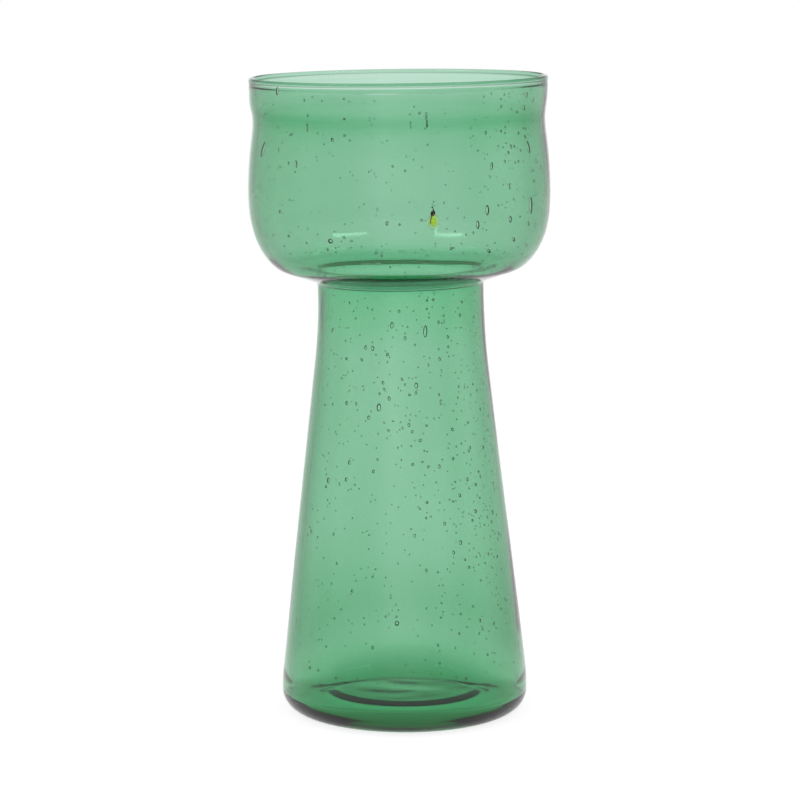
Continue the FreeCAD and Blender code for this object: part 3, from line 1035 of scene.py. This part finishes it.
@dataclass
class StainedGlass:
    """The yellow-green stained glass round the stone, which fills its hollow flush with the outside."""

    places: WallPlaces
    stain: StainPlace
    rings: int = 16
    columns: int = 48
    reach: float = 2.15
    thinnest: float = 0.004

    def build(self, material: bpy.types.Material) -> bpy.types.Object:
        """Makes the lens: rings run from its outer middle to its edge and back under it.

        The outer face is the cup's true outside and the inner face lies at the stain's depth.

        Args:
            material: the yellow-green glass.

        Returns:
            The lens.
        """
        stain = self.stain
        share = np.linspace(0.0, 1.0, self.rings + 1)[1:]
        reach = self.reach * np.concatenate([share, share[-2::-1]])
        inner = np.concatenate([np.zeros(self.rings), np.ones(self.rings - 1)])
        turn = 2 * np.pi * np.arange(self.columns) / self.columns
        sideways = reach[:, None] * stain.width * np.sin(turn)
        upwards = reach[:, None] * stain.length * -np.cos(turn)
        rings = self.at(sideways, upwards, inner[:, None])
        nought = np.zeros((1, 1))
        outer_pole, inner_pole = (self.at(nought, nought, nought + side)[0] for side in (0.0, 1.0))
        shell = Shell.from_rings(rings[None], outer_pole, inner_pole).inside_out()
        shell.points = self.places.leaned(shell.points)
        piece = shell.as_object("stained_glass", material)
        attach(piece, "root")
        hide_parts("amber_stain")
        return piece

    def at(self, sideways: np.ndarray, upwards: np.ndarray, inner: np.ndarray) -> np.ndarray:
        """Points of the lens, outside or at the stain's depth less the gap.

        Args:
            sideways: place to the side of the stain's middle, in millimetres.
            upwards: place above it.
            inner: 0 for the outer face and 1 for the inner face.

        Returns:
            The points, upright.
        """
        stain = self.stain
        azimuth = math.radians(stain.azimuth) + sideways / self.places.outline.belly_radius
        point, out, _, _ = self.places.frames(azimuth, stain.height + upwards)
        depth = np.clip(stain.depth_at(sideways, upwards) - stain.gap, self.thinnest, None) * inner
        return point - out * depth[..., None]


@dataclass
class TrappedStone:
    """The dark unmelted stone with its tail of grains and the thin streak down its left.

    Each grain has its sideways and upward place from the stain's middle, width, length and tilt. A
    wave has its size, its number round the grain, its number along it and its step between grains."""

    places: WallPlaces
    stain: StainPlace
    grains: tuple = (
        (-0.02, 2.45, 1.38, 1.80, 28), (-0.34, 1.55, 0.42, 1.30, 22), (-0.62, 0.62, 0.30, 1.35, 10),
        (-0.72, -0.35, 0.24, 0.95, 2), (0.10, 3.55, 0.40, 0.75, -18), (-0.20, 4.28, 0.46, 0.62, 30),
        (0.42, 4.75, 0.24, 0.34, 0), (-0.16, 5.25, 0.22, 0.32, 0), (0.24, 5.95, 0.34, 0.44, 10),
    )
    depth: float = 0.92
    thickness: float = 0.42
    waves: tuple = ((0.13, 3, 4, 1), (0.09, 5, -6, 2))
    detail: tuple = (9, 16)

    def build(self, material: bpy.types.Material) -> bpy.types.Object:
        """Makes the grains: rough eggs, their rings pushed in and out by waves along and round them.

        Args:
            material: the stone.

        Returns:
            The grains as one piece.
        """
        rows = np.array(self.grains)
        azimuth = np.radians(self.stain.azimuth) + rows[:, 0] / self.places.outline.belly_radius
        point, out, side, up = self.places.frames(azimuth, self.stain.height + rows[:, 1])
        middle = point - out * self.depth
        long, wide = tilted(up, side, rows[:, 4])
        fall, turn = ball_angles(*self.detail)
        grain = np.arange(len(rows))[:, None, None]
        rough = 1 + sum(
            size * np.sin(round_it * turn + along_it * fall + step * grain)
            for size, round_it, along_it, step in self.waves
        )
        half_long, half_wide = rows[:, 3, None] / 2, rows[:, 2, None] / 2
        halves = (long * half_long, wide * half_wide, out * np.minimum(half_wide, self.thickness))
        shell = Shell.eggs(middle, halves, fall, turn, rough)
        shell.points = self.places.leaned(shell.points)
        piece = shell.as_object("trapped_stone", material)
        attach(piece, "root")
        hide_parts("stone_inclusion")
        return piece


def add_node(
    tree: bpy.types.NodeTree, kind: str, values: dict | None = None, **settings: object
) -> bpy.types.Node:
    """Adds a shader node.

    Args:
        tree: where it goes.
        kind: its type.
        values: values of its input sockets, by name or number.
        settings: its own settings.

    Returns:
        The node.
    """
    node = tree.nodes.new(kind)
    for name, value in settings.items():
        setattr(node, name, value)
    for name, value in (values or {}).items():
        node.inputs[name].default_value = value
    return node


def new_group(name: str, inputs: Sequence[tuple[str, str]], outputs: Sequence[tuple[str, str]]) -> tuple:
    """A new shader node group with its ends.

    Args:
        name: the group's name.
        inputs: name and socket kind of each input.
        outputs: name and socket kind of each output.

    Returns:
        The group, its input node and its output node.
    """
    group = bpy.data.node_groups.new(name, "ShaderNodeTree")
    for label, kind in inputs:
        group.interface.new_socket(name=label, in_out="INPUT", socket_type=kind)
    for label, kind in outputs:
        group.interface.new_socket(name=label, in_out="OUTPUT", socket_type=kind)
    return group, group.nodes.new("NodeGroupInput"), group.nodes.new("NodeGroupOutput")


def add_math(tree: bpy.types.NodeTree, operation: str, *inputs: object) -> bpy.types.NodeSocket:
    """Adds a math node.

    Args:
        tree: where it goes.
        operation: what it works out.
        inputs: a socket or a plain number for each of its inputs.

    Returns:
        Its output.
    """
    node = add_node(tree, "ShaderNodeMath", operation=operation)
    for number, source in enumerate(inputs):
        if isinstance(source, bpy.types.NodeSocket):
            tree.links.new(source, node.inputs[number])
        else:
            node.inputs[number].default_value = source
    return node.outputs[0]


def add_range(
    tree: bpy.types.NodeTree, value: bpy.types.NodeSocket, start: float, end: float,
    first: float = 0.0, **settings: object,
) -> bpy.types.NodeSocket:
    """Adds a node that turns a range of values into the range from a first level to 1.

    Args:
        tree: where it goes.
        value: the socket that it reads.
        start: value that gives the first level.
        end: value that gives 1.
        first: the first level.
        settings: the node's own settings.

    Returns:
        Its output.
    """
    node = add_node(
        tree, "ShaderNodeMapRange", {"From Min": start, "From Max": end, "To Min": first}, **settings
    )
    tree.links.new(value, node.inputs["Value"])
    return node.outputs["Result"]


def link_all(tree: bpy.types.NodeTree, *pairs: tuple) -> None:
    """Links each pair of an output socket and an input socket."""
    for source, target in pairs:
        tree.links.new(source, target)


def emptied_tree(owner: bpy.types.Material | bpy.types.World) -> bpy.types.NodeTree:
    """The node tree of a new material or world, turned on and empty."""
    owner.use_nodes = True
    owner.node_tree.nodes.clear()
    return owner.node_tree


class BeltKind(Enum):
    """Where on its way round the vase a belt of deeper green shows."""

    ALL_ROUND = "the same all round"
    # painted shade: a darker band of the backdrop seen through the wall; it is faint at the back and full in
    # front
    PINCHED_SHADE = "strongest at the sides, and faint in front"
    # painted shade: the green shade of the ground under the vase, seen through the floor and the heel
    UNDER_VASE_SHADE = "strongest on the floor, and weaker in the heel"


@dataclass(frozen=True)
class TintAndShadeBelt:
    """A belt of deeper green over the glass's colour. Most stand for thicker glass, but the belt at the pinch
    is painted shade, a darker band of the backdrop seen through the wall, and the belt on the floor is
    painted shade, the green shade of the ground under the vase seen through the floor and the heel. Height
    and width are in metres.
    """

    height: float
    width: float
    kind: BeltKind
    colour: tuple


TINT_AND_SHADE_BELTS = (
    TintAndShadeBelt(0.1997, 0.0012, BeltKind.ALL_ROUND, (0.76, 0.86, 0.81)),
    # painted shade: a darker band of the backdrop at the pinch, seen through the wall
    TintAndShadeBelt(0.1882, 0.0023, BeltKind.PINCHED_SHADE, (0.50, 0.86, 0.70)),
    TintAndShadeBelt(0.1850, 0.0060, BeltKind.ALL_ROUND, (0.89, 0.97, 0.93)),
    TintAndShadeBelt(0.1386, 0.0040, BeltKind.ALL_ROUND, (0.52, 0.92, 0.77)),
    TintAndShadeBelt(0.1290, 0.0090, BeltKind.ALL_ROUND, (0.82, 0.965, 0.89)),
    # painted shade: the green shade of the ground under the vase, seen through the floor and the heel
    TintAndShadeBelt(0.0030, 0.0085, BeltKind.UNDER_VASE_SHADE, (0.42, 1.0, 0.72)),
)
CORD_RANGE = (0.35, 0.7)                # levels of the noise, from clear to corded
CUP_SIDE = 0.044                        # metres from the middle to where the belt of painted backdrop shade at the pinch is strongest
PINCH_SHADE_LEVELS = (0.8, 0.42)              # the painted shade's gain towards the sides, and its level in the middle
PINCH_SHADE_FRONT = (0.012, -0.012, 0.12)     # metres behind and before the axis, and what is left of the painted shade at the back
UNDER_VASE_SHADE_RANGE = (0.036, 0.027, 0.35)      # radii of the heel and the floor in metres, and what the heel gets of the painted shade under the vase


def belted(
    group: bpy.types.NodeTree, place: bpy.types.NodeSocket, shade: bpy.types.NodeSocket
) -> bpy.types.NodeSocket:
    """Lays the belts of deeper green over a colour.

    Each belt is a bell curve of the height, times what its kind gives: nothing more, a square of the distance
    to the side that fades out at the back, or a ramp of the distance from the axis. The belt at the pinch is
    painted shade of the backdrop, and the belt on the floor is painted shade of the ground under the vase.

    Args:
        group: the node group.
        place: the Object coordinates.
        shade: the colour.

    Returns:
        The colour with the belts.
    """
    math_node = partial(add_math, group)
    split = add_node(group, "ShaderNodeSeparateXYZ")
    group.links.new(place, split.inputs[0])
    x, y, z = split.outputs
    side = math_node("MULTIPLY", math_node("ABSOLUTE", x), 1 / CUP_SIDE)
    # level of the painted backdrop shade at the pinch: more towards the sides
    pinch_shade = math_node("MULTIPLY_ADD", math_node("MULTIPLY", side, side), *PINCH_SHADE_LEVELS)
    squares = math_node("ADD", math_node("POWER", x, 2.0), math_node("POWER", y, 2.0))
    levels = {
        BeltKind.ALL_ROUND: 1.0,
        # painted backdrop shade at the pinch, faint at the back
        BeltKind.PINCHED_SHADE: math_node("MULTIPLY", pinch_shade, add_range(group, y, *PINCH_SHADE_FRONT)),
        # painted shade under the vase, strongest on the floor
        BeltKind.UNDER_VASE_SHADE: add_range(group, math_node("SQRT", squares), *UNDER_VASE_SHADE_RANGE),
    }
    for belt in TINT_AND_SHADE_BELTS:
        off = math_node("MULTIPLY", math_node("SUBTRACT", z, belt.height), 1 / belt.width)
        fall = math_node("EXPONENT", math_node("MULTIPLY", math_node("MULTIPLY", off, off), -1.0))
        mix = add_node(
            group, "ShaderNodeMix", {7: (*belt.colour, 1.0)}, data_type="RGBA", blend_type="MULTIPLY"
        )
        share = math_node("MULTIPLY", fall, levels[belt.kind])
        link_all(group, (share, mix.inputs["Factor"]), (shade, mix.inputs[6]))
        shade = mix.outputs[2]
    return shade


def blown_surface_group() -> bpy.types.NodeTree:
    """The skin of blown glass: fine upright cords and soft ripples in it, as a tint and a height.

    The height is a smooth noise, stretched along the vase, and the tint is a second one between two given
    colours, with belts of deeper green round the vase, two of which are painted shade.

    Returns:
        The group.
    """
    group, start, end = new_group(
        "blown surface",
        [("Ripple Size", "NodeSocketFloat"), ("Clear", "NodeSocketColor"), ("Corded", "NodeSocketColor")],
        [("Tint", "NodeSocketColor"), ("Height", "NodeSocketFloat"), ("Wear", "NodeSocketFloat")],
    )
    place = add_node(group, "ShaderNodeTexCoord")
    stretch = add_node(group, "ShaderNodeMapping", {"Scale": (1.0, 1.0, 0.32)})
    ripple = add_node(group, "ShaderNodeTexNoise", {"Detail": 1.5, "Roughness": 0.4})
    cord = add_node(group, "ShaderNodeTexNoise", {"Scale": 95.0, "Detail": 2.0, "Roughness": 0.5})
    tint = add_node(group, "ShaderNodeMix", data_type="RGBA")
    wear = add_node(group, "ShaderNodeTexNoise", {"Scale": 420.0, "Detail": 3.0, "Roughness": 0.6})
    link_all(
        group,
        (place.outputs["Object"], stretch.inputs["Vector"]),
        (stretch.outputs["Vector"], ripple.inputs["Vector"]),
        (stretch.outputs["Vector"], cord.inputs["Vector"]),
        (place.outputs["Object"], wear.inputs["Vector"]),
        (start.outputs["Ripple Size"], ripple.inputs["Scale"]),
        (add_range(group, cord.outputs["Fac"], *CORD_RANGE), tint.inputs["Factor"]),
        (start.outputs["Clear"], tint.inputs[6]),
        (start.outputs["Corded"], tint.inputs[7]),
        (belted(group, place.outputs["Object"], tint.outputs[2]), end.inputs["Tint"]),
        (ripple.outputs["Fac"], end.inputs["Height"]),
        (wear.outputs["Fac"], end.inputs["Wear"]),
    )
    return group


LEAST_SQUARE = 1e-6             # keeps the division in the surround from nought by nought
CORNER_RANGE = (-0.35, 0.75)    # cosines of four times the azimuth, from the dim level to white
NEAR_RANGE = (0.05, 0.3)        # metres from the origin, between all white and the full dimming
HIGH_RANGE = (0.08, 0.26)       # upward shares of a direction, from the horizon's level to the high one


def surround_group() -> bpy.types.NodeTree:
    """How bright the studio is in a direction: white along the four axes and dimmer between them and above.

    The cosine of four times the azimuth comes from x and y, and is then eased between the dim
    level and white. Where Near is 1, it is all white close to the origin.

    Returns:
        The group.
    """
    inputs = [("Direction", "NodeSocketVector")]
    inputs += [(name, "NodeSocketFloat") for name in ("Dim Level", "High Level", "Near")]
    group, start, end = new_group("studio surround", inputs, [("Level", "NodeSocketFloat")])
    split = add_node(group, "ShaderNodeSeparateXYZ")
    math_node = partial(add_math, group)
    eased = partial(add_range, group, interpolation_type="SMOOTHSTEP")
    group.links.new(start.outputs["Direction"], split.inputs[0])
    x, y, z = split.outputs
    xx, yy = math_node("MULTIPLY", x, x), math_node("MULTIPLY", y, y)
    both = math_node("ADD", math_node("ADD", xx, yy), LEAST_SQUARE)
    difference = math_node("DIVIDE", math_node("SUBTRACT", xx, yy), both)
    square = math_node("MULTIPLY", difference, difference)
    four = math_node("SUBTRACT", math_node("MULTIPLY", square, 2.0), 1.0)
    near = eased(math_node("SQRT", both), *NEAR_RANGE)
    far = math_node("MAXIMUM", math_node("SUBTRACT", 1.0, start.outputs["Near"]), near)
    lost = math_node("SUBTRACT", 1.0, eased(four, *CORNER_RANGE))
    depth = math_node("MULTIPLY", math_node("SUBTRACT", 1.0, start.outputs["Dim Level"]), far)
    around = math_node("SUBTRACT", 1.0, math_node("MULTIPLY", lost, depth))
    high = math_node("SUBTRACT", 1.0, start.outputs["High Level"])
    darker = math_node("MULTIPLY", high, eased(z, *HIGH_RANGE))
    group.links.new(math_node("MULTIPLY", around, math_node("SUBTRACT", 1.0, darker)), end.inputs["Level"])
    return group


@dataclass(frozen=True)
class GlassFinish:
    """A tinted, fire-polished blown glass. Its colour comes from how much light each metre takes away, and
    from the skin's tint with its belts, two of which are painted shade.
    """

    name: str
    kept_colour: tuple
    density: float
    corded: tuple
    ripple_size: float = 60.0
    ripple_depth: float = 0.00003
    ior: float = 1.47

    def material(self, skin: bpy.types.NodeTree) -> bpy.types.Material:
        """Makes the material: clear Principled glass, a rippled skin and absorption inside.

        Args:
            skin: the group of blown surfaces.

        Returns:
            The material.
        """
        made = bpy.data.materials.new(self.name)
        tree = emptied_tree(made)
        group = add_node(tree, "ShaderNodeGroup", node_tree=skin)
        group.inputs["Ripple Size"].default_value = self.ripple_size
        group.inputs["Clear"].default_value = WHITE
        group.inputs["Corded"].default_value = (*self.corded, 1.0)
        bump = add_node(tree, "ShaderNodeBump", {"Strength": 1.0, "Distance": self.ripple_depth})
        glass = add_node(
            tree,
            "ShaderNodeBsdfPrincipled",
            {"Roughness": 0.0, "IOR": self.ior, "Transmission Weight": 1.0, "Metallic": 0.0},
        )
        inside = add_node(
            tree, "ShaderNodeVolumeAbsorption", {"Color": (*self.kept_colour, 1.0), "Density": self.density}
        )
        out = add_node(tree, "ShaderNodeOutputMaterial")
        link_all(
            tree,
            (group.outputs["Tint"], glass.inputs["Base Color"]),
            (group.outputs["Height"], bump.inputs["Height"]),
            (bump.outputs["Normal"], glass.inputs["Normal"]),
            (glass.outputs[0], out.inputs["Surface"]),
            (inside.outputs[0], out.inputs["Volume"]),
        )
        return made


@dataclass(frozen=True)
class StoneFinish:
    """A dark, matt, unmelted stone with a slightly glassy crust."""

    name: str = "unmelted_stone"
    dark: tuple = (0.006, 0.008, 0.005)
    brown: tuple = (0.035, 0.028, 0.012)
    grain_size: float = 1800.0
    bump_strength: float = 0.7
    bump_depth: float = 0.0001
    gloss_floor: float = 0.55
    gloss_top: float = 0.9

    def material(self, skin: bpy.types.NodeTree) -> bpy.types.Material:
        """Makes the material: mottled colour, uneven gloss and a grainy bump.

        Args:
            skin: the group of blown surfaces.

        Returns:
            The material.
        """
        made = bpy.data.materials.new(self.name)
        tree = emptied_tree(made)
        group = add_node(tree, "ShaderNodeGroup", node_tree=skin)
        group.inputs["Ripple Size"].default_value = self.grain_size
        group.inputs["Clear"].default_value = (*self.dark, 1.0)
        group.inputs["Corded"].default_value = (*self.brown, 1.0)
        bump = add_node(
            tree, "ShaderNodeBump", {"Strength": self.bump_strength, "Distance": self.bump_depth}
        )
        gloss = add_node(
            tree, "ShaderNodeMapRange", {"To Min": self.gloss_floor, "To Max": self.gloss_top}
        )
        stone = add_node(tree, "ShaderNodeBsdfPrincipled", {"Metallic": 0.0})
        out = add_node(tree, "ShaderNodeOutputMaterial")
        link_all(
            tree,
            (group.outputs["Tint"], stone.inputs["Base Color"]),
            (group.outputs["Wear"], gloss.inputs["Value"]),
            (gloss.outputs[0], stone.inputs["Roughness"]),
            (group.outputs["Height"], bump.inputs["Height"]),
            (bump.outputs["Normal"], stone.inputs["Normal"]),
            (stone.outputs[0], out.inputs["Surface"]),
        )
        return made


@dataclass
class Studio:
    """A white studio: pale floor, white surround, two soft boxes overhead, and the camera.

    Lengths are in metres and angles in degrees, but the camera's place and lens are in millimetres."""

    floor_half: float = 1.6
    floor_drop: float = 0.0001
    floor_grey: float = 0.38
    floor_glow: float = 0.85
    glass_glow: float = 0.82
    plain_level: float = 0.5
    dim_level: float = 0.75
    high_level: float = 0.42
    box_azimuths: tuple = (62.0, -62.0)
    box_rolls: tuple = (-25.0, 25.0)
    box_elevation: float = 53.0
    box_distance: float = 1.3
    box_width: float = 0.5
    box_height: float = 0.14
    box_level: float = 4.2
    box_gain: float = 4.0
    box_aim_height: float = 0.15
    camera_place: tuple = (-1.52, -925.4, 245.3)
    camera_pitch: float = 9.01
    camera_lens: float = 134.16
    sensor: float = 36.0

    def glassy_rays(self, tree: bpy.types.NodeTree) -> bpy.types.NodeSocket:
        """1 for rays that come from a glossy or transmitting surface, else 0."""
        light = add_node(tree, "ShaderNodeLightPath").outputs
        return add_math(tree, "MAXIMUM", light["Is Glossy Ray"], light["Is Transmission Ray"])

    def surround_node(
        self, tree: bpy.types.NodeTree, surround: bpy.types.NodeTree, near: float
    ) -> bpy.types.Node:
        """Places the surround's group in a tree with the studio's levels.

        Args:
            tree: where it goes.
            surround: the group.
            near: 1 where the origin's neighbourhood is to be all white.

        Returns:
            The group's node.
        """
        levels = {"Dim Level": self.dim_level, "High Level": self.high_level, "Near": near}
        return add_node(tree, "ShaderNodeGroup", levels, node_tree=surround)

    def build_world(self, surround: bpy.types.NodeTree) -> None:
        """White for the camera, the surround for glass, and a plain level for everything else.

        Args:
            surround: the surround's group.
        """
        world = bpy.data.worlds.new("white studio")
        bpy.context.scene.world = world
        tree = emptied_tree(world)
        place = add_node(tree, "ShaderNodeTexCoord")
        group = self.surround_node(tree, surround, 0.0)
        light = add_node(tree, "ShaderNodeLightPath")
        seen = add_node(tree, "ShaderNodeMix", {2: self.plain_level})
        whole = add_node(tree, "ShaderNodeMix", {3: 1.0})
        sky = add_node(tree, "ShaderNodeBackground", {"Color": WHITE})
        out = add_node(tree, "ShaderNodeOutputWorld")
        link_all(
            tree,
            (place.outputs["Generated"], group.inputs["Direction"]),
            (self.glassy_rays(tree), seen.inputs["Factor"]),
            (group.outputs["Level"], seen.inputs[3]),
            (light.outputs["Is Camera Ray"], whole.inputs["Factor"]),
            (seen.outputs[0], whole.inputs[2]),
            (whole.outputs[0], sky.inputs["Strength"]),
            (sky.outputs[0], out.inputs["Surface"]),
        )

    def floor_material(self, surround: bpy.types.NodeTree) -> bpy.types.Material:
        """A pale surface that glows up to white for the camera and for glass.

        Args:
            surround: the surround's group.

        Returns:
            The material.
        """
        material = bpy.data.materials.new("pale floor")
        tree = emptied_tree(material)
        place = add_node(tree, "ShaderNodeTexCoord")
        group = self.surround_node(tree, surround, 1.0)
        light = add_node(tree, "ShaderNodeLightPath")
        shown = add_math(tree, "MULTIPLY", self.glassy_rays(tree), group.outputs["Level"])
        glassy = add_math(tree, "MULTIPLY", shown, self.glass_glow)
        total = add_math(tree, "MULTIPLY_ADD", light.outputs["Is Camera Ray"], self.floor_glow, glassy)
        grey = (self.floor_grey, self.floor_grey, self.floor_grey, 1.0)
        surface = add_node(
            tree,
            "ShaderNodeBsdfPrincipled",
            {"Base Color": grey, "Roughness": 1.0, "Specular IOR Level": 0.0, "Emission Color": WHITE},
        )
        out = add_node(tree, "ShaderNodeOutputMaterial")
        link_all(
            tree,
            (place.outputs["Object"], group.inputs["Direction"]),
            (total, surface.inputs["Emission Strength"]),
            (surface.outputs[0], out.inputs["Surface"]),
        )
        return material

    def build_floor(self, surround: bpy.types.NodeTree) -> bpy.types.Object:
        """A pale square floor that keeps the vase's shadow.

        Args:
            surround: the surround's group.

        Returns:
            The floor.
        """
        half, low = self.floor_half, -self.floor_drop
        corners = [(-half, -half, low), (half, -half, low), (half, half, low), (-half, half, low)]
        mesh = bpy.data.meshes.new("pale_floor")
        mesh.from_pydata(corners, [], [(0, 1, 2, 3)])
        mesh.materials.append(self.floor_material(surround))
        floor = bpy.data.objects.new("pale_floor", mesh)
        bpy.context.scene.collection.objects.link(floor)
        return floor

    def build_boxes(self) -> None:
        """Two long soft boxes at the front left and front right, overhead, turned to the cup."""
        for azimuth, roll in zip(self.box_azimuths, self.box_rolls):
            lamp = bpy.data.lights.new("soft_box", "AREA")
            lamp.shape = "RECTANGLE"
            lamp.size, lamp.size_y = self.box_width, self.box_height
            lamp.energy = self.box_gain * self.box_level * self.box_width * self.box_height
            turn, rise = math.radians(azimuth), math.radians(self.box_elevation)
            holder = bpy.data.objects.new("soft_box", lamp)
            across = self.box_distance * math.cos(rise)
            up = self.box_aim_height + self.box_distance * math.sin(rise)
            holder.location = (across * math.sin(turn), -across * math.cos(turn), up)
            turned = Matrix.Rotation(turn, 3, "Z") @ Matrix.Rotation(math.pi / 2 - rise, 3, "X")
            holder.rotation_euler = (turned @ Matrix.Rotation(math.radians(roll), 3, "Z")).to_euler()
            bpy.context.scene.collection.objects.link(holder)

    def build_camera(self) -> None:
        """The camera where the photograph was taken from, for a square picture."""
        data = bpy.data.cameras.new("photo_view")
        data.lens = self.camera_lens
        data.sensor_width = self.sensor
        camera = bpy.data.objects.new("photo_view", data)
        camera.location = tuple(place * MM for place in self.camera_place)
        camera.rotation_euler = (math.pi / 2 - math.radians(self.camera_pitch), 0.0, 0.0)
        bpy.context.scene.collection.objects.link(camera)
        bpy.context.scene.camera = camera

    def build(self) -> None:
        """Builds the whole studio."""
        surround = surround_group()
        self.build_world(surround)
        self.build_floor(surround)
        self.build_boxes()
        self.build_camera()
        bpy.context.scene.view_settings.view_transform = "Standard"


def main() -> None:
    """Builds the pieces in order, then the studio round them."""
    logging.basicConfig(level=logging.INFO, format="%(name)s: %(message)s")
    skin = blown_surface_group()
    green = GlassFinish(
        name="green_seeded_glass", kept_colour=(0.234, 0.674, 0.434), density=500.0, corded=(0.985, 1.0, 0.99)
    )
    amber = GlassFinish(
        name="yellow_green_stain", kept_colour=(1.0, 0.97, 0.0), density=6000.0, corded=(1.0, 0.99, 0.95)
    )
    places = WallPlaces(VaseOutline(), HandShaping())
    stain = StainPlace()
    BlownVessel(places, stain).build(green.material(skin))
    StainedGlass(places, stain).build(amber.material(skin))
    TrappedStone(places, stain).build(StoneFinish().material(skin))
    Studio().build()


if __name__ == "__main__":
    main()
